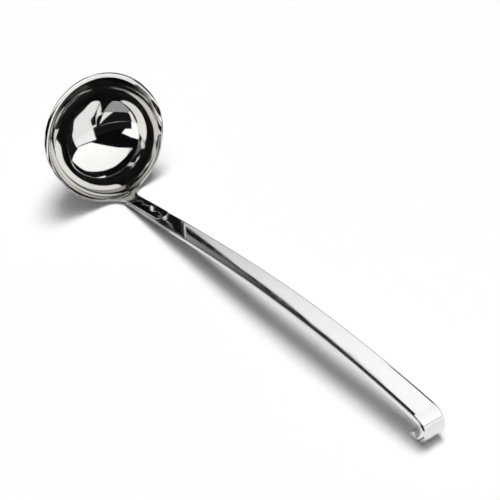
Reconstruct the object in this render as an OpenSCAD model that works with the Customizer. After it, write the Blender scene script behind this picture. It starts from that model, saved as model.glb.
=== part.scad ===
// A soup ladle of polished sheet steel: a drawn bowl whose wall rises into a tab, a pressed channel handle
// that ends in a hanging hook, and the two spot welds that join them. Each piece is drawn with the mouth of
// the bowl level and the handle rising at its +X side, and is then laid down as on a table: +X runs along
// the handle to the hook, Y across, +Z up, with the origin on the table under the middle of the length.

/* [Bowl] */
// Outside diameter of the bowl's wall at the standing rim
bowl_d = 84.6; // [78:0.2:100]
// Outside depth of the bowl, from the standing rim to the bottom
bowl_depth = 36.5; // [32:0.5:38.5]
// Angle off the bowl's axis where the arc of the side meets the flatter arc of the bottom
bottom_angle = 33; // [25:1:42]
// Thickness of the bowl's sheet
bowl_sheet = 1.2; // [0.8:0.1:1.6]

/* [Rolled lip] */
// How far below the standing rim the lip starts to roll outward
lip_drop = 5.2; // [4:0.1:7]
// Radius of the roll at the middle of the sheet
lip_r = 1.7; // [1.2:0.1:2.4]
// Angle that the sheet turns through in the roll
lip_turn = 143; // [110:1:160]
// Angle round the mouth, from the neck, up to which the rim stands at its full height
plain_angle = 75; // [50:1:80]
// Angle round the mouth, from the neck, at which the lip starts
lip_angle = 90; // [85:1:110]
// Angle round the mouth over which the lip grows to its full width
lip_growth = 15; // [8:1:30]

/* [Neck and tab] */
// Width of the tab that rises from the rim and lies on the handle
tab_w = 10.2; // [8:0.1:10.6]
// Length of the tab, from the level of the rim to its round end
tab_length = 53.2; // [48:0.2:70]
// Radius of the hollow curves between the rim and the sides of the tab
neck_r = 11; // [6:0.5:14]
// Length of the tab between the rim and the front end of the handle
lead_length = 9; // [7:0.5:12]
// Angle that the tab leans outward over that length
lead_turn = 3.3; // [2:0.1:6]

/* [Handle] */
// Thickness of the handle's sheet
handle_sheet = 1.4; // [1:0.1:1.8]
// Length of the front stretch, along its face
front_length = 134; // [100:1:180]
// Angle that the front stretch turns through
front_turn = 4.1; // [2:0.1:8]
// Length of the rear stretch, along its face, up to the hook
rear_length = 176; // [120:1:220]
// Angle that the rear stretch turns through
rear_turn = 12.6; // [6:0.1:20]
// Width at the front end
front_w = 10.8; // [10.7:0.1:14]
// Length from the front end over which the handle flares
flare_length = 48; // [30:1:80]
// Width where the flare ends
flare_w = 12.8; // [11:0.1:15]
// Width where the front stretch meets the rear one
middle_w = 13.6; // [11:0.1:16]
// Width where the hook starts
end_w = 15.4; // [12:0.1:18]
// Depth of the sides at the front end, with the face
front_side = 2.2; // [2:0.1:4]
// Depth of the sides where the two stretches meet, with the face
middle_side = 3.4; // [2.2:0.1:5]
// Depth of the sides where the hook starts, with the face
end_side = 5; // [3:0.1:7]

/* [Hook] */
// Outside radius of the hook
hook_r = 10.6; // [8:0.1:16]
// Angle that the hook turns through
hook_turn = 203; // [180:1:240]
// Width of the hook's free end
tip_w = 13.4; // [8:0.1:15]

/* [Spot welds] */
// Diameter of each weld
weld_d = 4.5; // [3:0.1:6]
// Depth of each weld in either sheet
weld_depth = 0.6; // [0.3:0.1:0.7]
// Gap that stays between the two sheets round the welds
sheet_gap = 0.05; // [0.02:0.01:0.2]
// Distance along the tab from the level of the rim to the first weld
weld_start = 28.7; // [20:0.1:30]
// Distance between the two welds
weld_pitch = 14; // [8:0.5:16]

/* [Hidden] */
$fn = 144;

// Cuts run past the faces they open by this much
overrun = 2;
// Round stretches of an outline have a point at least every so many degrees, and long flat ones are divided
// into this many steps
arc_step = 4;
path_steps = 16;
// Stations across the sheet of the standing rim and of the lip
rim_steps = 3;
lip_steps = 12;
// The neck's hollow curves run this far into the rim and the tab, so that they cross them cleanly
neck_embed = 0.1;

// The bowl's profile is two arcs that meet tangentially: the side's centre is level with the standing rim
wall_r = bowl_d / 2;
arc_gap = (wall_r - bowl_depth) / (sin(bottom_angle) + cos(bottom_angle) - 1);
side_r = wall_r - arc_gap * sin(bottom_angle);
bottom_r = side_r + arc_gap;
side_centre = [wall_r - side_r, 0];
bottom_centre = [0, arc_gap * cos(bottom_angle)];
meet_a = bottom_angle - 90;

// The lip's arc leaves the side at the angle roll_a below the rim, on the outside of the sheet
side_mid_r = side_r - bowl_sheet / 2;
roll_a = asin(lip_drop / side_mid_r);
roll_start = side_centre + side_mid_r * heading(-roll_a);
lip_centre = side_centre + (side_mid_r + lip_r) * heading(-roll_a);

// The back of the tab and the face of the handle follow the same arcs in the side view, sheet_gap apart
lead_r = arc_radius(lead_length, lead_turn);
front_r = arc_radius(front_length, front_turn);
rear_r = arc_radius(rear_length, rear_turn);
lead_start = [wall_r, 0];
lead_a = 90;
front_start = arc_end(lead_start, lead_a, lead_turn, lead_r);
front_a = lead_a - lead_turn;
rear_start = arc_end(front_start, front_a, front_turn, front_r);
rear_a = front_a - front_turn;
hook_a = rear_a - rear_turn;
hook_start = arc_end(rear_start, rear_a, rear_turn, rear_r) - sheet_gap * heading(hook_a + 90);
hook_centre = hook_start - hook_r * heading(hook_a + 90);
bore_r = hook_r - handle_sheet;

// Lying down, the table is the common tangent of the side's arc and the hook; down_a points square into it
span = hook_centre - side_centre;
down_a = atan2(span.y, span.x) - acos((side_r - hook_r) / norm(span));
table_distance = side_centre * heading(down_a) + side_r;
back_x = bottom_centre * heading(down_a + 90) - bottom_r;
hook_x = hook_centre * heading(down_a + 90) + hook_r;

function heading(a) = [cos(a), sin(a)];
function arc_radius(length, turn) = length / turn * 180 / PI;
function arc_turn(radius, length) = length / radius * 180 / PI;
function arc_end(start, a, turn, radius) = start + 2 * radius * sin(turn / 2) * heading(a - turn / 2);

// A line of sheet is a list of stations, each a point of the line and the direction square to the sheet.
// An arc's stations lie at angles from its centre; backed moves every station along its own direction.
function arc_line(centre, radius, from_a, to_a, steps) = [
    for (i = [0:steps])
        let (a = from_a + (to_a - from_a) * i / steps)
        [centre + radius * heading(a), a]
];
function steps_for(turn) = ceil(abs(turn) / arc_step);
function backed(line, depth) = [for (s = line) s[0] - depth * heading(s[1])];
function turned_back(points) = [for (i = [len(points) - 1:-1:0]) points[i]];
function sheet_outline(line, back, front) = concat(backed(line, back), turned_back(backed(line, front)));
function joined(a, b) = concat(a, [for (i = [1:len(b) - 1]) b[i]]);

// Draws in the side view: x along the direction a from the point p, z to the outside of the face
module along(p, a) {
    translate([p.x, 0, p.y])
        rotate([0, -a, 0])
            children();
}

// Thickens a side view evenly to both sides of the middle plane
module across(width) {
    rotate([90, 0, 0])
        linear_extrude(width, center = true)
            children();
}

module lay_down() {
    translate([-(back_x + hook_x) / 2, 0, table_distance])
        rotate([0, 90 + down_a, 0])
            children();
}

module cup() {
    bottom_line = arc_line(bottom_centre, bottom_r - bowl_sheet / 2, -90, meet_a, steps_for(bottom_angle));
    side_line = arc_line(side_centre, side_mid_r, meet_a, -roll_a, steps_for(-roll_a - meet_a));
    rotate([0, 0, lip_angle])
        rotate_extrude()
            polygon(sheet_outline(joined(bottom_line, side_line), -bowl_sheet / 2, bowl_sheet / 2));
}

// A stretch of the rim between two angles round the mouth, along the middle line of its sheet
module rim(from_a, to_a, line) {
    rotate([0, 0, from_a])
        rotate_extrude(angle = to_a - from_a)
            polygon(sheet_outline(line, -bowl_sheet / 2, bowl_sheet / 2));
}

// Round the neck the rim stands plain, and it falls to the level of the lip where the lip starts
module standing_rim() {
    full_x = wall_r * cos(plain_angle);
    end_x = wall_r * cos(lip_angle);
    fall = -lip_centre.y - lip_r - bowl_sheet / 2;
    past = fall * overrun / (full_x - end_x);
    difference() {
        rim(-lip_angle, lip_angle, arc_line(side_centre, side_mid_r, -roll_a, 0, rim_steps));
        across(2 * wall_r + 2 * overrun)
            polygon([
                [full_x, 0],
                [full_x, overrun],
                [end_x - overrun, overrun],
                [end_x - overrun, -fall - past]
            ]);
    }
}

// Round the rest of the mouth the sheet is rolled outward, growing to its full width from both ends
module lip() {
    grown_a = lip_angle + lip_growth;
    outer_r = wall_r + 2 * lip_r + bowl_sheet;
    line = [
        [roll_start, -roll_a],
        for (i = [1:lip_steps])
            let (a = 180 - roll_a - lip_turn * i / lip_steps)
            [lip_centre + lip_r * heading(a), a - 180]
    ];
    difference() {
        rim(lip_angle, 360 - lip_angle, line);
        for (side = [-1, 1])
            translate([0, 0, -lip_drop - overrun - lip_r])
                linear_extrude(lip_drop + 2 * overrun + lip_r)
                    polygon([for (p = [
                        wall_r * heading(lip_angle) + [overrun, 0],
                        wall_r * heading(lip_angle),
                        outer_r * heading(grown_a),
                        2 * outer_r * heading(grown_a),
                        2 * outer_r * heading(lip_angle) + [overrun, 0]
                    ]) [p.x, side * p.y]]);
    }
}

// The wall above the standing rim, narrowed by a hollow curve on each side up to the tab
module neck() {
    half_w = tab_w / 2 + neck_r - neck_embed;
    intersection() {
        difference() {
            cylinder(r = wall_r, h = neck_r);
            translate([0, 0, -overrun])
                cylinder(r = wall_r - bowl_sheet, h = neck_r + 2 * overrun);
        }
        difference() {
            translate([0, -half_w, 0])
                cube([wall_r + overrun, 2 * half_w, neck_r]);
            for (side = [-1, 1])
                translate([-overrun, side * half_w, neck_r - neck_embed])
                    rotate([0, 90, 0])
                        cylinder(r = neck_r, h = wall_r + 3 * overrun);
        }
    }
}

// The tab starts halfway up the neck and ends in a half round
module tab() {
    lap_turn = arc_turn(front_r, tab_length - lead_length);
    root_turn = lead_turn / 2;
    lead_centre = lead_start + lead_r * heading(lead_a - 90);
    front_centre = front_start + front_r * heading(front_a - 90);
    lead_line = arc_line(lead_centre, lead_r, lead_a + 90 - root_turn, front_a + 90, 2);
    front_line = arc_line(front_centre, front_r, front_a + 90, front_a + 90 - lap_turn, path_steps);
    root_z = lead_line[0][0].y;
    end_z = front_line[path_steps][0].y - tab_w / 2;
    intersection() {
        across(tab_w)
            polygon(sheet_outline(joined(lead_line, front_line), 0, -bowl_sheet));
        rotate([0, -90, 0])
            mirror([0, 0, 1])
                linear_extrude(2 * wall_r) {
                    translate([root_z - overrun, -tab_w / 2 - overrun])
                        square([end_z - root_z + overrun, tab_w + 2 * overrun]);
                    translate([end_z, 0])
                        circle(tab_w / 2);
                }
    }
}

// The channel is drawn from the hook, where its face starts at the origin and runs toward -x
module channel() {
    rear_centre = [0, -rear_r];
    middle = rear_centre + rear_r * heading(90 + rear_turn);
    front_centre = middle - front_r * heading(90 + rear_turn);
    front_angle = 90 + rear_turn + front_turn;
    front_line = arc_line(front_centre, front_r, front_angle, 90 + rear_turn, path_steps);
    rear_line = arc_line(rear_centre, rear_r, 90 + rear_turn, 90, path_steps);
    line = joined(front_line, rear_line);
    flare_a = front_angle - arc_turn(front_r, flare_length);
    flare_x = (front_centre + front_r * heading(flare_a)).x;
    front_x = line[0][0].x;
    sides = [
        for (i = [0:2 * path_steps])
            i < path_steps
                ? front_side + (middle_side - front_side) * i / path_steps
                : middle_side + (end_side - middle_side) * (i - path_steps) / path_steps
    ];
    lower = [for (i = [0:2 * path_steps]) line[i][0] - sides[i] * heading(line[i][1])];
    under = backed(line, handle_sheet);
    deep = backed(line, end_side + overrun);
    plan = [
        [front_x, front_w / 2],
        [flare_x, flare_w / 2],
        [middle.x, middle_w / 2],
        [0, end_w / 2]
    ];
    difference() {
        intersection() {
            across(end_w + 2 * overrun)
                polygon(concat(backed(line, 0), turned_back(lower)));
            plan_block(plan, 0);
        }
        intersection() {
            across(end_w + 2 * overrun)
                polygon(concat(
                    [under[0] - overrun * heading(front_angle - 90)],
                    under,
                    [[overrun, -handle_sheet], [overrun, -end_side - overrun]],
                    turned_back(deep),
                    [deep[0] - overrun * heading(front_angle - 90)]
                ));
            plan_block(plan, handle_sheet);
        }
    }
}

// The channel's outline seen from its face, drawn in by inset and run past both ends
module plan_block(plan, inset) {
    ends = concat([[plan[0].x - overrun, plan[0].y]], plan, [[plan[3].x + overrun, plan[3].y]]);
    depth = abs(plan[0].x);
    translate([0, 0, -depth])
        linear_extrude(depth + overrun)
            polygon(concat(
                [for (p = ends) [p.x, p.y - inset]],
                turned_back([for (p = ends) [p.x, inset - p.y]])
            ));
}

// The hook's width by depth: full down to the end of the sides, then narrowing toward the bottom of the bend
module hook_width() {
    rotate([90, 0, 90])
        linear_extrude(4 * hook_r, center = true)
            polygon([
                [-end_w / 2, overrun],
                [-end_w / 2, -end_side],
                [-tip_w / 2, -2 * hook_r],
                [tip_w / 2, -2 * hook_r],
                [end_w / 2, -end_side],
                [end_w / 2, overrun]
            ]);
}

module hook() {
    intersection() {
        translate([0, 0, -hook_r])
            rotate([90, 0, 0])
                rotate([0, 0, 90])
                    rotate_extrude(angle = -hook_turn)
                        translate([bore_r, -end_w / 2])
                            square([handle_sheet, end_w]);
        hook_width();
    }
    // The sides fade out where their depth meets the bend
    difference() {
        across(end_w)
            intersection() {
                translate([0, -hook_r])
                    circle(hook_r);
                translate([0, -end_side])
                    square([hook_r, end_side]);
            }
        across(end_w - 2 * handle_sheet)
            translate([-overrun, -end_side - overrun])
                square([hook_r + 2 * overrun, end_side + overrun - handle_sheet]);
        across(end_w - 2 * handle_sheet)
            translate([0, -hook_r])
                circle(bore_r);
    }
}

module weld_nuggets() {
    for (i = [0, 1]) {
        turn = arc_turn(front_r, weld_start + i * weld_pitch - lead_length);
        along(arc_end(front_start, front_a, turn, front_r), front_a - turn)
            translate([0, 0, -sheet_gap - weld_depth])
                cylinder(d = weld_d, h = sheet_gap + 2 * weld_depth);
    }
}

module bowl() {
    color("silver")
        lay_down()
            difference() {
                union() {
                    cup();
                    standing_rim();
                    lip();
                    neck();
                    tab();
                }
                weld_nuggets();
            }
}

module handle() {
    color("lightgray")
        lay_down()
            difference() {
                along(hook_start, hook_a) {
                    channel();
                    hook();
                }
                weld_nuggets();
            }
}

module spot_welds() {
    color("darkgray")
        lay_down()
            weld_nuggets();
}

bowl();
handle();
spot_welds();
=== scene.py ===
import math

import bpy
import numpy as np
from mathutils import Matrix, Vector


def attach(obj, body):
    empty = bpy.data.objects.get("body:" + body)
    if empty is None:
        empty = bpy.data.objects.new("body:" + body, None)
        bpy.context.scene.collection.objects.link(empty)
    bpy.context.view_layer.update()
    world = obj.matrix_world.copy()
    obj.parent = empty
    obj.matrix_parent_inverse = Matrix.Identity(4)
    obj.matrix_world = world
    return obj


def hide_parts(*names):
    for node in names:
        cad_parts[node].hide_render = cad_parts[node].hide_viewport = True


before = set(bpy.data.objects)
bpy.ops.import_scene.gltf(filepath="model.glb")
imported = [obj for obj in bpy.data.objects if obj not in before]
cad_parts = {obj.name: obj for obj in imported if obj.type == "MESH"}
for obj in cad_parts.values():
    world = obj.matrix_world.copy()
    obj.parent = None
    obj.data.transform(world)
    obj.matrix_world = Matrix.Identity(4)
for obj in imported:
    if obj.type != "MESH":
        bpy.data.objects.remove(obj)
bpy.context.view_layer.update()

# ---------------------------------------------------------------- sizes, in mm and degrees, as in the part
wall_r = 42.3
bowl_depth = 36.5
bottom_angle = 33.0
bowl_sheet = 1.2
lip_drop = 5.2
lip_r = 1.7
lip_turn = 143.0
roll_from, roll_to = 65.0, 120.0        # degrees from the neck over which the sheet rolls outward
tab_w = 10.2
tab_length = 53.2
neck_r = 11.0
lead_length, lead_turn = 9.0, 3.3
handle_sheet = 1.4
front_length, front_turn = 134.0, 4.1
rear_length, rear_turn = 176.0, 12.6
front_w, flare_length, flare_w, middle_w, end_w = 10.8, 48.0, 12.8, 13.6, 15.4
front_side, middle_side, end_side = 2.2, 3.4, 5.0
hook_r, hook_turn, tip_w = 10.6, 203.0, 13.4
sheet_gap = 0.05
weld_start, weld_pitch, weld_count = 28.7, 14.0, 2

# ---------------------------------------------------------------- sizes of the finish, which only the scene gives
sheet_edge_r = 0.4                      # rounding of the bowl's polished edge
face_corner_r = 1.1                     # outside corner between the handle's face and its sides
inner_corner_r = 0.25                   # inside corner under the face
side_edge_r = 0.3                       # rounding of the handle's lower edges
face_crown = 0.12                       # rise of the middle of the handle's face
hook_crown_share = 0.3                  # what is left of that rise in the hook
side_melt = 0.35                        # over this depth the end of a side melts into the sheet
flare_ease = 7.0                        # half the length over which a corner of the width is eased
side_end_bend = 60.0                    # bend of the hook at which its sides have faded out
mark_height, mark_r = 0.32, 3.0         # low bumps that the welds leave on the tab's face

start_a = 90.0                          # the handle leaves the rim straight up from the mouth
tiny = 1e-9                             # lengths under this count as none
no_length = 1e-12                       # least length that a direction is divided by


def heading(a):
    a = np.radians(a)
    return np.stack([np.cos(a), np.sin(a)], axis=-1)


def smooth(t):
    t = np.clip(t, 0.0, 1.0)
    return t * t * (3.0 - 2.0 * t)


def quarter_turn(steps):
    """Angles of a quarter circle in equal steps, without the first."""
    return np.radians(np.linspace(0, 90, steps + 1))[1:]


# The side view's construction, the same as the part's
arc_gap = (wall_r - bowl_depth) / (
    math.sin(math.radians(bottom_angle)) + math.cos(math.radians(bottom_angle)) - 1
)
side_r = wall_r - arc_gap * math.sin(math.radians(bottom_angle))
bottom_r = side_r + arc_gap
side_centre = np.array([wall_r - side_r, 0.0])
bottom_centre = np.array([0.0, arc_gap * math.cos(math.radians(bottom_angle))])
meet_a = bottom_angle - 90.0
half_t = bowl_sheet / 2
side_mid_r = side_r - half_t
roll_a = math.degrees(math.asin(lip_drop / side_mid_r))


def path(stretches, s):
    """Points and directions, at the lengths s, of a line of tangent arcs that leaves the rim and turns right."""
    s = np.asarray(s, float)
    points = np.zeros(s.shape + (2,))
    angles = np.zeros(s.shape)
    done = 0.0
    p, a = np.array([wall_r, 0.0]), start_a
    for k, (length, turn) in enumerate(stretches):
        radius = length / math.radians(turn)
        inside = s >= done - tiny if k else np.ones(s.shape, bool)
        local = np.where(inside, s - done, 0.0)
        t = local / length * turn
        chord = 2 * radius * np.sin(np.radians(t) / 2)
        here = p + chord[..., None] * heading(a - t / 2)
        points[inside] = here[inside]
        angles[inside] = (a - t)[inside]
        p = p + 2 * radius * math.sin(math.radians(turn) / 2) * heading(a - turn / 2)
        a -= turn
        done += length
    return points, angles


def end_of(stretches):
    points, angles = path(stretches, np.array([sum(length for length, turn in stretches)]))
    return points[0], angles[0]


lead = (lead_length, lead_turn)
front = (front_length, front_turn)
rear = (rear_length, rear_turn)
rear_end, hook_a = end_of([lead, front, rear])
hook_start = rear_end - sheet_gap * heading(hook_a + 90)
hook_centre = hook_start - hook_r * heading(hook_a + 90)
bowl_to_hook = hook_centre - side_centre
down_a = math.degrees(
    math.atan2(bowl_to_hook[1], bowl_to_hook[0])
    - math.acos((side_r - hook_r) / np.linalg.norm(bowl_to_hook))
)
table_distance = float(side_centre @ heading(down_a)) + side_r
back_x = float(bottom_centre @ heading(down_a + 90)) - bottom_r
hook_x = float(hook_centre @ heading(down_a + 90)) + hook_r
tip_over = math.radians(90 + down_a)


def lie_direction(n):
    """A direction from the mouth's frame in the row frame."""
    c, s = math.cos(tip_over), math.sin(tip_over)
    return np.stack([n[..., 0] * c + n[..., 2] * s, n[..., 1], -n[..., 0] * s + n[..., 2] * c], axis=-1)


def lie_down(p):
    """From the mouth's frame in mm to the row frame in metres."""
    return (lie_direction(p) + np.array([-(back_x + hook_x) / 2, 0.0, table_distance])) * 0.001


# ---------------------------------------------------------------- surfaces
def unit(v):
    return v / np.maximum(np.linalg.norm(v, axis=-1, keepdims=True), no_length)


def slope(p, axis, closed=False):
    """Direction along one axis of a grid of points, exact on arcs with uneven steps."""
    p = np.moveaxis(p, axis, 0)
    if closed:
        before, after = np.roll(p, 1, 0), np.roll(p, -1, 0)
    else:
        before = np.concatenate([p[:1], p[:-1]])
        after = np.concatenate([p[1:], p[-1:]])
    h1 = np.maximum(np.linalg.norm(p - before, axis=-1, keepdims=True), tiny)
    h2 = np.maximum(np.linalg.norm(after - p, axis=-1, keepdims=True), tiny)
    d = (h1 / h2 * (after - p) + h2 / h1 * (p - before)) / (h1 + h2)
    if not closed:
        # the ends continue the arc of their first two steps
        for end, inner, second in ((0, 1, 2), (-1, -2, -3)):
            u, v = p[inner] - p[end], p[second] - p[inner]
            lu = np.maximum(np.linalg.norm(u, axis=-1, keepdims=True), tiny)
            lv = np.maximum(np.linalg.norm(v, axis=-1, keepdims=True), tiny)
            e = u / lu + (u / lu - v / lv) * lu / (lu + lv)
            d[end] = e if end == 0 else -e
    return np.moveaxis(unit(d), 0, axis)


def normals_of(grid, closed):
    return unit(np.cross(slope(grid, 0, closed), slope(grid, 1)))


class Shell:
    """Collects points with their normals, and faces, into one smooth mesh."""

    def __init__(self):
        self.points, self.normals, self.patches = [], [], []
        self.count = 0

    def add(self, points, normals):
        points = points.reshape(-1, 3)
        self.points.append(points)
        self.normals.append(normals.reshape(-1, 3))
        first = self.count
        self.count += len(points)
        return first + np.arange(len(points))

    def quads(self, ids, closed=False):
        """Faces between the rows of a grid of point numbers; a face with a doubled point becomes a triangle."""
        rows, columns = ids.shape
        patch = []
        for i in range(rows - 1):
            for j in range(columns if closed else columns - 1):
                k = (j + 1) % columns
                q = [ids[i, j], ids[i, k], ids[i + 1, k], ids[i + 1, j]]
                q = [int(v) for n, v in enumerate(q) if v not in q[:n]]
                if len(q) > 2:
                    patch.append(q)
        self.patches.append(patch)

    def build(self, name, material):
        points = lie_down(np.concatenate(self.points))
        normals = unit(lie_direction(np.concatenate(self.normals)))
        # every patch of faces turns the way its normals point
        faces = []
        for patch in self.patches:
            first, second, third = (np.array([face[k * len(face) // 3] for face in patch]) for k in range(3))
            across = np.cross(points[second] - points[first], points[third] - points[first])
            turned = np.sum(across * normals[first]) < 0
            faces += [face[::-1] for face in patch] if turned else patch
        mesh = bpy.data.meshes.new(name)
        mesh.from_pydata(points.tolist(), [], faces)
        mesh.polygons.foreach_set("use_smooth", [True] * len(mesh.polygons))
        mesh.normals_split_custom_set_from_vertices(normals.tolist())
        mesh.materials.append(material)
        obj = bpy.data.objects.new(name, mesh)
        bpy.context.scene.collection.objects.link(obj)
        return obj


# ---------------------------------------------------------------- material
line_scale, line_detail, line_share = 900.0, 4.0, 0.6
blotch_scale, blotch_detail = 70.0, 4.0
speck_scale, speck_detail = 2600.0, 2.0
wave_scale, wave_detail = 38.0, 1.0
scuff_rough = 0.12                      # what a scuff adds to the roughness
dull_share = 0.94                       # colour of a dull place, as a share of the bright one


def polished_steel(name, colour, rough, wave, line, grain):
    """Polished sheet steel: fine lines from the polishing wheel, faint waves of the pressed sheet, and small
    scuffs and specks where the finish has dulled. The waves and lines are given by their heights in metres,
    and the grain says how much the lines are drawn out along each axis."""
    m = bpy.data.materials.new(name)
    m.use_nodes = True
    nt = m.node_tree
    nt.nodes.clear()
    new = nt.nodes.new
    out = new("ShaderNodeOutputMaterial")
    shader = new("ShaderNodeBsdfPrincipled")
    nt.links.new(shader.outputs[0], out.inputs[0])
    shader.inputs["Metallic"].default_value = 1.0
    shader.inputs["IOR"].default_value = 2.5
    place = new("ShaderNodeTexCoord")

    def noise(scale, detail, stretch=(1, 1, 1), rough_share=0.5):
        mapping = new("ShaderNodeMapping")
        mapping.inputs["Scale"].default_value = stretch
        nt.links.new(place.outputs["Object"], mapping.inputs[0])
        n = new("ShaderNodeTexNoise")
        n.inputs["Scale"].default_value = scale
        n.inputs["Detail"].default_value = detail
        n.inputs["Roughness"].default_value = rough_share
        nt.links.new(mapping.outputs[0], n.inputs["Vector"])
        return n.outputs[0]

    def remap(value, from_low, from_high, to_low, to_high):
        r = new("ShaderNodeMapRange")
        for socket, bound in zip(r.inputs[1:5], (from_low, from_high, to_low, to_high)):
            socket.default_value = bound
        nt.links.new(value, r.inputs[0])
        return r.outputs[0]

    def math_node(kind, a, b):
        n = new("ShaderNodeMath")
        n.operation = kind
        for socket, value in zip(n.inputs, (a, b)):
            if isinstance(value, (int, float)):
                socket.default_value = value
            else:
                nt.links.new(value, socket)
        return n.outputs[0]

    def bump(height, distance):
        b = new("ShaderNodeBump")
        b.inputs["Strength"].default_value = 1.0
        b.inputs["Distance"].default_value = distance
        nt.links.new(height, b.inputs["Height"])
        return b

    lines = noise(line_scale, line_detail, grain, line_share)
    blotches = noise(blotch_scale, blotch_detail)
    specks = noise(speck_scale, speck_detail)
    line_rough = remap(lines, 0.3, 0.7, rough * 0.7, rough * 1.3)
    blotch_rough = remap(blotches, 0.35, 0.7, -0.3 * rough, 0.5 * rough)
    scuffs = math_node("MULTIPLY", remap(specks, 0.66, 0.74, 0.0, 1.0), scuff_rough)
    roughness = math_node("ADD", line_rough, math_node("ADD", blotch_rough, scuffs))
    nt.links.new(roughness, shader.inputs["Roughness"])

    ramp = new("ShaderNodeValToRGB")
    dull, bright = ramp.color_ramp.elements
    dull.position, bright.position = 0.3, 0.75
    dull.color = (*(c * dull_share for c in colour), 1)
    bright.color = (*colour, 1)
    nt.links.new(blotches, ramp.inputs[0])
    nt.links.new(ramp.outputs[0], shader.inputs["Base Color"])

    wave_bump = bump(noise(wave_scale, wave_detail), wave)
    line_bump = bump(lines, line)
    nt.links.new(wave_bump.outputs[0], line_bump.inputs["Normal"])
    nt.links.new(line_bump.outputs[0], shader.inputs["Normal"])
    return m


bowl_steel = polished_steel("bowl_steel", (0.80, 0.79, 0.77), 0.05, 0.00002, 0.0000012, (1, 1, 1))
handle_steel = polished_steel("handle_steel", (0.80, 0.79, 0.78), 0.06, 0.000012, 0.0000015, (0.06, 1, 1))
weld_steel = polished_steel("weld_steel", (0.62, 0.62, 0.62), 0.3, 0.00002, 0.000004, (1, 1, 1))

# ---------------------------------------------------------------- bowl
tab_points = 31                         # round the tab's end, which are also its columns
neck_steps, far_steps = 25, 124         # columns of one side of the neck, and from there to opposite it
bottom_rows, side_rows, rim_rows, tab_rows = 26, 29, 30, 76
edge_steps = 5                          # a quarter turn of the sheet's rounded edge
joined_rows = 6                         # rows under the tab that take the tab's normals


def tab_middle(s):
    """Middle of the bowl's sheet at the length s along the tab, in the side view."""
    p, a = path([lead, front], s)
    return p - half_t * heading(a - 90)


def weld_marks(s, y):
    marks = 0
    for i in range(weld_count):
        d2 = (s - weld_start - i * weld_pitch) ** 2 + y ** 2
        marks = marks + mark_height * np.exp(-d2 / mark_r ** 2)
    return marks


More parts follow.
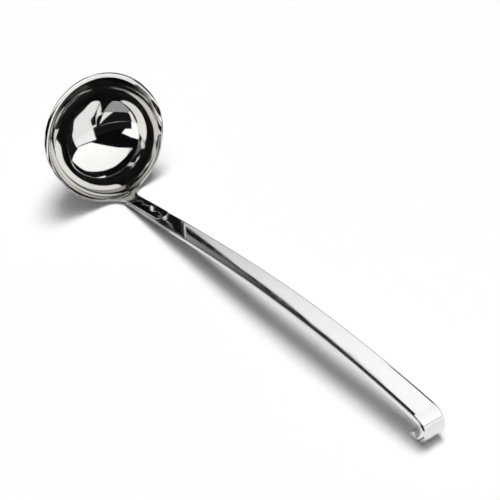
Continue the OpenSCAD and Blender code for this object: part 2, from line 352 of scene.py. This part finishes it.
def make_bowl():
    e = sheet_edge_r
    half_w = tab_w / 2 - e                     # the sheet runs to here, and the rounded edge adds e
    mid_wall = wall_r - half_t
    fillet = neck_r + e
    fillet_y = tab_w / 2 + neck_r
    root = side_centre + side_mid_r * heading(-roll_a)

    # columns: the angle round the mouth, and the height of the sheet above the rim
    betas = np.linspace(-90, 90, tab_points)
    alphas = np.linspace(0, 90, neck_steps + 1)[1:]
    neck_y = fillet_y - fillet * np.cos(np.radians(alphas))
    neck_h = neck_r - fillet * np.sin(np.radians(alphas))
    neck_theta = np.degrees(np.arcsin(neck_y / mid_wall))
    far_theta = np.linspace(neck_theta[-1], 180, far_steps + 1)[1:-1]
    far_h = np.full(far_theta.shape, -e)
    tab_y = half_w * np.sin(np.radians(betas))
    tab_theta = np.degrees(np.arcsin(tab_y / mid_wall))
    theta = np.concatenate([tab_theta, neck_theta, far_theta, [180.0], -far_theta[::-1], -neck_theta[::-1]])
    above = np.concatenate([
        np.full(tab_y.shape, neck_r), neck_h, far_h, [-e], far_h[::-1], neck_h[::-1]
    ])
    columns = len(theta)
    roll = smooth((np.abs(theta) - roll_from) / (roll_to - roll_from))

    # rows up the wall, from the pole of the bottom to the root of the rim
    profile = np.concatenate([
        bottom_centre + (bottom_r - half_t) * heading(np.linspace(-90, meet_a, bottom_rows)),
        side_centre + side_mid_r * heading(np.linspace(meet_a, -roll_a, side_rows + 1)[1:]),
    ])
    cos_t, sin_t = np.cos(np.radians(theta)), np.sin(np.radians(theta))
    wall = np.stack([
        profile[:, 0][None] * cos_t[:, None],
        profile[:, 0][None] * sin_t[:, None],
        np.repeat(profile[:, 1][None], columns, 0),
    ], axis=-1)
    wall[:, 0, :2] = 0.0

    # the rim above the root: a line whose turn and length go from the plain rim to the rolled one
    plain_length = side_mid_r * math.radians(roll_a)
    rolled_length = lip_r * math.radians(lip_turn)
    turn = roll_a * (1 - roll) - lip_turn * roll
    length = plain_length * (1 - roll) + rolled_length * roll
    full = length + np.maximum(above, -e)
    along = full[:, None] * np.linspace(0, 1, rim_rows + 1)[None, 1:]
    reach = np.minimum(along, length[:, None])
    over = along - reach                       # the stretch above the level of the rim
    t = turn[:, None] * reach / length[:, None]
    radius = length / np.radians(np.where(np.abs(turn) < 1e-6, 1e-6, turn))
    chord = np.where(np.abs(t) < 1e-4, reach, 2 * radius[:, None] * np.sin(np.radians(t) / 2))
    line = root + chord[..., None] * heading(90 - roll_a + t / 2)
    x = line[..., 0] * cos_t[:, None]
    y = line[..., 0] * sin_t[:, None]
    z = line[..., 1] + over
    # above the rim the wall flattens into the tab and leans out along its path
    flat = tab_middle(over)
    w = smooth(over / lead_length)
    risen = over > tiny
    x = np.where(risen, (1 - w) * (x + flat[..., 0] - mid_wall) + w * flat[..., 0], x)
    z = np.where(risen, flat[..., 1], z)
    rim = np.stack([x, y, z], axis=-1)
    sheet = np.concatenate([wall, rim], axis=1)          # columns by rows
    rows = sheet.shape[1]

    # the tab above the neck
    end_s = tab_length - tab_w / 2 + half_w * np.cos(np.radians(betas))
    s = neck_r + (end_s[:, None] - neck_r) * np.linspace(0, 1, tab_rows + 1)[None, 1:]
    flat = tab_middle(s)
    tab = np.stack([flat[..., 0], np.repeat(tab_y[:, None], tab_rows, 1), flat[..., 1]], axis=-1)
    strip = np.concatenate([sheet[:tab_points], tab], axis=1)

    # normals that point out of the bowl; the tab's columns take the strip's where the two meet
    n_sheet = normals_of(sheet, True)
    n_strip = normals_of(strip, False)
    n_sheet[1:tab_points - 1, rows - joined_rows:] = n_strip[1:-1, rows - joined_rows:rows]
    n_sheet[0, rows - 1] = n_strip[0, rows - 1]
    n_sheet[tab_points - 1, rows - 1] = n_strip[-1, rows - 1]
    on_wall = (columns // 2, bottom_rows + side_rows // 2)
    if float(n_sheet[on_wall] @ sheet[on_wall]) < 0:
        n_sheet, n_strip = -n_sheet, -n_strip
    n_sheet[:, 0] = (0, 0, -1)
    n_tab = n_strip[:, rows:]

    # both sides of the sheet; the welds' marks are on the side that shows
    shell = Shell()
    surfaces = {}
    for sign in (1, -1):
        grid = sheet + sign * half_t * n_sheet
        tab_grid = tab + sign * half_t * n_tab
        n_tab_side = n_tab
        if sign < 0:
            tab_grid = tab_grid - weld_marks(s, tab_y[:, None])[..., None] * n_tab
            n_marked = normals_of(np.concatenate([grid[:tab_points], tab_grid], axis=1), False)[:, rows:]
            same_way = float(np.sum(n_marked * n_tab)) > 0
            n_tab_side = n_marked if same_way else -n_marked
        ids = shell.add(grid, sign * n_sheet).reshape(columns, rows)
        ids[:, 0] = ids[0, 0]
        tab_ids = shell.add(tab_grid, sign * n_tab_side).reshape(tab_points, tab_rows)
        shell.quads(ids.T, closed=True)
        shell.quads(np.concatenate([ids[:tab_points, -1:], tab_ids], axis=1).T)
        surfaces[sign] = (ids, tab_ids)

    def ring(grid, tab_grid):
        """The values along the edge of the sheet: from the tab round the mouth, and round the tab's end."""
        return np.concatenate([
            grid[tab_points - 1:, -1],
            grid[:1, -1],
            tab_grid[0, :-1],
            tab_grid[:, -1],
            tab_grid[-1, :-1][::-1],
        ])

    # the rounded edge of the sheet, all the way round
    edge = ring(sheet, tab)
    n_edge = ring(n_sheet, n_tab)
    d_edge = unit(np.cross(slope(edge, 0, True), n_edge))
    mouth = slice(1, columns - tab_points)
    last_step = sheet[tab_points - 1:, -1] - sheet[tab_points - 1:, -2]
    if np.sum(d_edge[mouth] * last_step[mouth]) < 0:
        d_edge = -d_edge
    strips = [ring(*surfaces[1])]
    quarter = quarter_turn(edge_steps)
    for sign, angles in ((1, quarter), (-1, quarter[::-1])):
        for f in angles:
            normal = d_edge * math.sin(f) + sign * n_edge * math.cos(f)
            point = edge + d_edge * e * math.sin(f) + sign * n_edge * (half_t - e + e * math.cos(f))
            strips.append(shell.add(point, normal))
    strips.append(ring(*surfaces[-1]))
    shell.quads(np.array(strips), closed=True)
    return shell.build("bowl_dressed", bowl_steel)


# ---------------------------------------------------------------- handle
handle_stations, hook_stations = 240, 90
face_points, under_points = 25, 15      # across the face, and across the underside of the sheet
corner_steps, side_steps, round_steps, inner_steps = 8, 4, 4, 3
ease_samples = 15
least_step = 0.01                       # mm that still part two points where a side has faded out
steepest_bend, least_cos = 80.0, 0.2    # bounds of the formula by which the sides fade out
cap_pull = 0.9                          # how far the end's rounding draws its points in, as a share of its radius


def section_of(width, depth, crown):
    """Points of one section of the handle, across and down from the face, from an edge of the face all round."""
    r, e = face_corner_r, side_edge_r
    h = width / 2 - r
    face = [(u * h, crown * u * u) for u in np.linspace(-1, 1, face_points)]
    right = []

    # the corner, the outside of the side and its rounded lower edge
    for f in quarter_turn(corner_steps):
        right.append((h + r * math.sin(f), crown + r - r * math.cos(f)))
    side_top = crown + r
    low = max(depth - e, side_top + 2 * least_step)
    for k in np.linspace(0, 1, side_steps + 1)[1:]:
        right.append((h + r, side_top + (low - side_top) * k))
    for f in quarter_turn(round_steps):
        right.append((h + r - e + e * math.cos(f), low + e * math.sin(f)))

    # up the inside of the side, round the inner corner and under the face
    inner = max(depth - handle_sheet, 0.0)
    inner_r = min(inner_corner_r, inner / 2)
    inner_y = h + r - handle_sheet
    right.append((inner_y + e, low + e))
    for f in quarter_turn(round_steps):
        right.append((inner_y + e - e * math.sin(f), low + e - min(e, inner / 2) * (1 - math.cos(f))))
    low_inner = right[-1][1]
    level = min(handle_sheet + inner_r, low_inner)
    for k in np.linspace(0, 1, inner_steps + 1)[1:]:
        right.append((inner_y, low_inner + (level - low_inner) * k))
    for f in quarter_turn(round_steps):
        right.append((inner_y - inner_r * math.sin(f) - least_step,
                      level - (level - handle_sheet) * (1 - math.cos(f))))
    under_y = inner_y - inner_r - 2 * least_step
    under = [(y, handle_sheet) for y in np.linspace(under_y, -under_y, under_points + 2)[1:-1]]
    left = [(-y, d) for y, d in right[::-1]]
    return face + right + under + left


def make_handle():
    hook_length = math.radians(hook_turn) * (hook_r + sheet_gap)
    flat_length = front_length + rear_length
    flat_end = lead_length + flat_length
    s = np.concatenate([
        lead_length + side_edge_r + np.linspace(0, 1, handle_stations) * (flat_length - side_edge_r),
        flat_end + np.linspace(0, 1, hook_stations + 1)[1:] * (hook_length - side_edge_r),
    ])
    p, a = path([lead, front, rear, (hook_length, hook_turn)], s)
    face = p - sheet_gap * heading(a + 90)
    bend = np.clip(hook_a - a, 0, None)
    run = s - lead_length

    # width: its corners are eased by averaging along a short stretch, and it narrows toward the hook's tip
    def plain_width(along):
        return np.interp(along, [0, flare_length, front_length, flat_length], [front_w, flare_w, middle_w, end_w])

    eased = np.mean([plain_width(run + o) for o in np.linspace(-flare_ease, flare_ease, ease_samples)], axis=0)
    drop = hook_r * (1 - np.cos(np.radians(bend)))
    narrowing = (end_w - tip_w) / (2 * hook_r - end_side)
    hook_width = end_w - narrowing * np.maximum(drop - end_side, 0)
    width = np.where(bend > 0, hook_width, np.minimum(plain_width(run), eased))

    # depth of the sides: in the hook their lower edges run straight on until the bend has met them
    depth = np.interp(run, [0, front_length, flat_length], [front_side, middle_side, end_side])
    cos_bend = np.maximum(np.cos(np.radians(np.minimum(bend, steepest_bend))), least_cos)
    fading = hook_r - (hook_r - end_side) / cos_bend
    depth = np.where(bend > side_end_bend, handle_sheet, np.where(bend > 0, fading, depth))
    past = depth - handle_sheet
    melted = np.logaddexp(0, past / side_melt) - math.log(2) * np.exp(-np.maximum(past, 0) / side_melt)
    depth = np.maximum(handle_sheet + side_melt * melted, handle_sheet)
    crown = face_crown * (1 - (1 - hook_crown_share) * smooth(bend / side_end_bend))

    section = np.array([section_of(*values) for values in zip(width, depth, crown)])
    up = heading(a + 90)
    centre = face[:, None] - section[..., 1:2] * up[:, None]
    grid = np.stack([centre[..., 0], section[..., 0], centre[..., 1]], axis=-1)
    normals = unit(np.cross(slope(grid, 1, True), slope(grid, 0)))
    mid = len(s) // 2
    if float(normals[mid, face_points // 2] @ np.array([up[mid, 0], 0, up[mid, 1]])) < 0:
        normals = -normals
    shell = Shell()
    ids = shell.add(grid, normals).reshape(len(s), -1)
    shell.quads(ids, closed=True)

    # both ends: a rounded edge and a flat cap
    for i, direction in ((0, -1), (-1, 1)):
        n = normals[i]
        forward = direction * np.array([heading(a[i])[0], 0, heading(a[i])[1]])
        rings = [ids[i]]
        for f in quarter_turn(round_steps):
            point = grid[i] + side_edge_r * (forward * math.sin(f) - n * (1 - math.cos(f)) * cap_pull)
            rings.append(shell.add(point, unit(n * math.cos(f) + forward * math.sin(f))))
        shell.quads(np.array(rings), closed=True)
        shell.patches.append([[int(v) for v in rings[-1]]])
    return shell.build("handle_dressed", handle_steel)


bowl_piece = make_bowl()
handle_piece = make_handle()
for piece, node, slot in (
    (bowl_piece, "bowl", "bowl_steel"),
    (handle_piece, "handle", "handle_steel"),
):
    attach(piece, "root")
    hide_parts(node)
weld_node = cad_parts["spot_welds"]
weld_node.data.materials.clear()
weld_node.data.materials.append(weld_steel)


# ---------------------------------------------------------------- makers of the floor, panels and cards
def plain_material(name, colour):
    m = bpy.data.materials.new(name)
    m.use_nodes = True
    shader = m.node_tree.nodes["Principled BSDF"]
    shader.inputs["Base Color"].default_value = (*colour, 1)
    shader.inputs["Roughness"].default_value = 0.9
    shader.inputs["Specular IOR Level"].default_value = 0.1
    return m


def glossy_depth_between(nt, low, high):
    """1 for the reflections whose number lies between the two values, else 0."""
    path_node = nt.nodes.new("ShaderNodeLightPath")
    both = nt.nodes.new("ShaderNodeMath")
    both.operation = "MULTIPLY"
    for socket, operation, bound in zip(both.inputs, ("GREATER_THAN", "LESS_THAN"), (low, high)):
        test = nt.nodes.new("ShaderNodeMath")
        test.operation = operation
        test.inputs[1].default_value = bound
        nt.links.new(path_node.outputs["Glossy Depth"], test.inputs[0])
        nt.links.new(test.outputs[0], socket)
    return both.outputs[0]


def glow_material(name, strengths, span, depths):
    """A glow that changes evenly along X over the span, in metres."""
    m = bpy.data.materials.new(name)
    m.use_nodes = True
    nt = m.node_tree
    nt.nodes.clear()
    out = nt.nodes.new("ShaderNodeOutputMaterial")
    glow = nt.nodes.new("ShaderNodeEmission")
    place = nt.nodes.new("ShaderNodeNewGeometry")
    split = nt.nodes.new("ShaderNodeSeparateXYZ")
    fall = nt.nodes.new("ShaderNodeMapRange")
    nt.links.new(place.outputs["Position"], split.inputs[0])
    nt.links.new(split.outputs["X"], fall.inputs["Value"])
    for socket, value in zip(("From Min", "From Max", "To Min", "To Max"), span + strengths):
        fall.inputs[socket].default_value = value
    nt.links.new(fall.outputs[0], glow.inputs["Strength"])
    surface = glow.outputs[0]
    if depths:
        clear = nt.nodes.new("ShaderNodeBsdfTransparent")
        mix = nt.nodes.new("ShaderNodeMixShader")
        nt.links.new(glossy_depth_between(nt, *depths), mix.inputs[0])
        nt.links.new(clear.outputs[0], mix.inputs[1])
        nt.links.new(surface, mix.inputs[2])
        surface = mix.outputs[0]
    nt.links.new(surface, out.inputs[0])
    return m


def plane(name, corners, material):
    mesh = bpy.data.meshes.new(name)
    mesh.from_pydata(corners, [], [tuple(range(len(corners)))])
    mesh.materials.append(material)
    obj = bpy.data.objects.new(name, mesh)
    bpy.context.scene.collection.objects.link(obj)
    return obj


def light_panel(name, corners, strengths, span=(-1.0, 1.0), depths=None):
    """A white panel that shows in the polished steel, out of the camera's sight."""
    panel = plane(name, corners, glow_material(name, strengths, span, depths))
    for ray in ("camera", "diffuse", "shadow"):
        setattr(panel, "visible_" + ray, False)


def dark_card(name, corners, level, depths=None):
    """A dark card that only the polished steel sees; the level is its even brightness."""
    card = plane(name, corners, glow_material(name, (level, level), (-1.0, 1.0), depths))
    for ray in ("camera", "diffuse", "transmission", "volume_scatter", "shadow"):
        setattr(card, "visible_" + ray, False)


def at_height(z, corners):
    return [(x, y, z) for x, y in corners]


bowl_x = -0.15


def round_bowl(az, r):
    """A place on the floor at a bearing and a distance from the bowl."""
    return bowl_x + r * math.cos(math.radians(az)), r * math.sin(math.radians(az))


def wall_round_bowl(az_from, az_to, r, low, top_from, top_to):
    """An upright wall between two bearings, whose top goes from one height to another."""
    start, end = round_bowl(az_from, r), round_bowl(az_to, r)
    return [(*start, low), (*start, top_from), (*end, top_to), (*end, low)]


# ---------------------------------------------------------------- floor
floor_half = 6.0
floor = plane(
    "floor",
    at_height(0, [(-floor_half, -floor_half), (floor_half, -floor_half), (floor_half, floor_half),
                  (-floor_half, floor_half)]),
    plain_material("floor", (0.95, 0.95, 0.95)),
)

# ---------------------------------------------------------------- what the steel mirrors
# a panel or card acts in the reflections whose number lies between these, or else in all
first_reflection = (0.5, 1.5)
second_reflection = (1.5, 2.5)
later_reflections = (1.5, 99)
third_and_later = (2.5, 99)

white, pale_grey, slate = (1.3, 1.3), (0.64, 0.64), (0.16, 0.16)
black, dark_grey, grey = 0.01, 0.2, 0.38

top_z = 0.53
top_strengths, top_span = (1.13, 1.3), (-0.1, 0.7)
light_panel("top_panel", at_height(top_z, [
    (-0.015, -0.039), (0.495, -0.185), (1.52, 0.51), (2.23, 2.07), (0.88, 2.11), (0.13, 0.58), (0.02, 0.19),
    (-0.016, 0),
]), top_strengths, top_span)
light_panel("top_panel_corner", at_height(top_z, [
    (-0.015, -0.039), (0, -0.52), (0.495, -0.185),
]), top_strengths, top_span, first_reflection)

rear_z = 1.0
light_panel("rear_panel", at_height(rear_z, [
    (-0.05, 0.385), (-0.14, 0.40), (-0.9, 0.55), (-1.69, 0.79), (-2.8, 1.3), (-2.8, 2), (-1.0, 2), (-0.6, 0.70),
    (-0.05, 0.70),
]), (0.72, 1.24), (-2.4, -0.5))
light_panel("rear_low_panel", at_height(rear_z, [
    (-8, 2.6), (-2.7, 1.07), (-2.1, 0.885), (-1.69, 0.765), (-1.1, 0.575), (-0.3, 0.35), (-0.3, -0.9), (-8, -0.9),
]), (0.30, 0.045), (-2.15, -1.2))

# what the tab sends back over the far wall of the bowl: a small white patch in slate grey
light_panel("tab_patch", at_height(top_z, [
    (-0.08, -0.27), (0.0, -0.27), (0.09, -0.50), (-0.01, -0.50),
]), white, depths=second_reflection)
light_panel("tab_slate", at_height(top_z, [
    (-0.20, -0.50), (0.09, -0.50), (0.25, -1.1), (-0.20, -1.1),
]), slate, depths=second_reflection)

# for the beige neck and the white strip on the right of the rim, which only third reflections show
light_panel("neck_panel", [
    (0.011, -0.065, 0.030), (0.011, -0.065, 0.220), (-0.002, -0.089, 0.220), (-0.002, -0.089, 0.030),
], pale_grey, depths=third_and_later)
light_panel("rim_panel", [
    (0.0141, -0.0591, 0.121), (0.0141, -0.0591, 0.145), (0.018, -0.043, 0.130), (0.0198, -0.0283, 0.120),
    (0.0195, -0.0115, 0.115), (0.0195, -0.0115, 0.093), (0.0198, -0.0283, 0.095), (0.018, -0.043, 0.103),
], white, depths=third_and_later)

# upright panels beyond the handle's end and at its side
light_panel("end_panel", [
    (1.837, 0.225, 0.01), (1.837, 0.225, 0.61), (1.313, 1.364, 0.285), (1.313, 1.364, 0.01),
], (1.1, 1.1))
light_panel("side_panel", [
    (0, -1.2, 0.01), (0, -1.2, 0.59), (0.45, -1.08, 0.60), (0.8, -0.74, 0.41), (0.62, -0.9, 0.2),
    (0.45, -1.04, 0.01),
], white, depths=first_reflection)

# the cards on the floor pass under the handle's front end, which lies 0.6 mm over the floor; those of the
# later reflections lie on top of the others
card_z, later_card_z = 0.0003, 0.0005
dark_card("front_card", at_height(card_z, [
    (0.36, 0.053), round_bowl(6, 1.0), round_bowl(-64, 1.0), round_bowl(-64, 0.10), (-0.112, -0.070),
    (-0.103, -0.064), (-0.088, -0.050), (-0.084, -0.033), (0.34, -0.033),
]), black)
# the floor by the bowl is darker in the steel, round the white strip that the far wall of the bowl shows
dark_card("strip_card", at_height(card_z, [
    (-0.134, -0.008), (-0.127, 0.004), (-0.108, 0.006), (-0.087, 0.010), (-0.058, 0.021), (0.061, 0.032),
    (0.12, 0.036), (0.12, 0.006), (-0.083, 0.006), (-0.085, -0.010), (-0.115, -0.008),
]), black, first_reflection)
dark_card("near_card", at_height(card_z, [
    (-0.134, -0.008), (-0.115, -0.008), (-0.085, -0.010), (-0.084, -0.033), (-0.088, -0.050), (-0.103, -0.064),
    (-0.112, -0.070), (-0.128, -0.060), (-0.138, -0.030),
]), grey, first_reflection)
dark_card("back_card", at_height(card_z, [
    (-0.137, 0.013), (-0.126, 0.022), (-0.120, 0.040), (-0.082, 0.072), (-0.049, 0.111), (0.148, 0.296),
    (0.78, 0.88), round_bowl(75, 1.2), round_bowl(110, 1.2), round_bowl(150, 1.2), round_bowl(190, 1.2),
    round_bowl(190, 0.3), round_bowl(110, 0.3), round_bowl(80, 0.04),
]), black)

# what the bowl sends back to itself stays dark, apart from a gap along the handle and its hook
later_r = 1.3
dark_card("later_card", at_height(later_card_z, [
    round_bowl(-100, 0.03), round_bowl(-40, 0.022), round_bowl(27, 0.03), round_bowl(27, later_r),
    round_bowl(12, later_r), round_bowl(12, 0.24), round_bowl(-8, 0.24), round_bowl(-8, later_r),
    round_bowl(-62, later_r), round_bowl(-100, later_r),
]), black, later_reflections)
dark_card("later_grey_card", at_height(later_card_z, [
    round_bowl(27, 0.03), round_bowl(70, 0.03), round_bowl(60, later_r), round_bowl(27, later_r),
]), dark_grey, later_reflections)
later_line = [(-100, 0.75), (-62, 0.75), (-20, 0.70), (-5, 0.53), (7, 0.37), (17, 0.2), (26, 0.01)]
for i, ((az_from, top_from), (az_to, top_to)) in enumerate(zip(later_line, later_line[1:])):
    corners = wall_round_bowl(az_from, az_to, later_r, later_card_z, top_from, top_to)
    dark_card("later_wall_%d" % i, corners, black, second_reflection)
dark_card("neck_mask", [
    (-0.10, -0.010, 0.012), (-0.10, -0.010, 0.052), (-0.10, -0.045, 0.052), (-0.10, -0.045, 0.012),
], black, third_and_later)

# low walls close the dark room behind the cards: bearings, distance and height
walls = [
    (-62, -30, 1.0, 0.22), (-30, 6, 1.0, 0.22),
    (43.4, 75, 1.2, 0.25), (75, 110, 1.2, 0.36), (110, 150, 1.2, 0.36), (150, 190, 1.2, 0.36),
]
for i, (az_from, az_to, r, top) in enumerate(walls):
    dark_card("dark_wall_%d" % i, wall_round_bowl(az_from, az_to, r, card_z, top, top), black)

# ---------------------------------------------------------------- world: pale low down and a dark room above
world = bpy.data.worlds.new("studio")
bpy.context.scene.world = world
world.use_nodes = True
nt = world.node_tree
background = nt.nodes["Background"]
direction = nt.nodes.new("ShaderNodeTexCoord")
split = nt.nodes.new("ShaderNodeSeparateXYZ")
nt.links.new(direction.outputs["Generated"], split.inputs[0])
ramp = nt.nodes.new("ShaderNodeValToRGB")
pale, dark = ramp.color_ramp.elements
pale.position, dark.position = 0.10, 0.16
pale.color = (0.8, 0.8, 0.8, 1)
dark.color = (0.004, 0.004, 0.005, 1)
nt.links.new(split.outputs["Z"], ramp.inputs[0])
nt.links.new(ramp.outputs[0], background.inputs[0])


# ---------------------------------------------------------------- lamps, for the floor and its shadow
def lamp(name, az, el, angle, level):
    """A soft lamp far off at a bearing and a height; the level is what a white floor would send back."""
    light = bpy.data.lights.new(name, "SUN")
    light.energy = level * math.pi / math.sin(math.radians(el))
    light.angle = math.radians(angle)
    obj = bpy.data.objects.new(name, light)
    bpy.context.scene.collection.objects.link(obj)
    az, el = math.radians(az), math.radians(el)
    toward = Vector((math.cos(el) * math.cos(az), math.cos(el) * math.sin(az), math.sin(el)))
    obj.matrix_world = toward.to_track_quat("Z", "Y").to_matrix().to_4x4()
    obj.visible_glossy = False


lamp("key", az=105, el=77, angle=30, level=0.64)
lamp("front", az=-15, el=80, angle=40, level=0.27)
lamp("fill", az=0, el=89, angle=150, level=0.12)

# ---------------------------------------------------------------- camera, as solved from the photograph's outline
camera_data = bpy.data.cameras.new("camera")
camera_data.lens = 129.6
camera_data.sensor_width = 36.0
camera_data.clip_start, camera_data.clip_end = 0.05, 50
camera = bpy.data.objects.new("camera", camera_data)
bpy.context.scene.collection.objects.link(camera)
camera_place = Vector((0.766290, -0.438779, 0.696928))
forward = Vector((-0.68932, 0.40280, -0.60215)).normalized()
right = Vector((0.57540, 0.80942, -0.11725)).normalized()
right = (right - right.dot(forward) * forward).normalized()
turned = Matrix((right, right.cross(forward), -forward)).transposed().to_4x4()
camera.matrix_world = Matrix.Translation(camera_place) @ turned
bpy.context.scene.camera = camera
bpy.context.scene.view_settings.view_transform = "Standard"
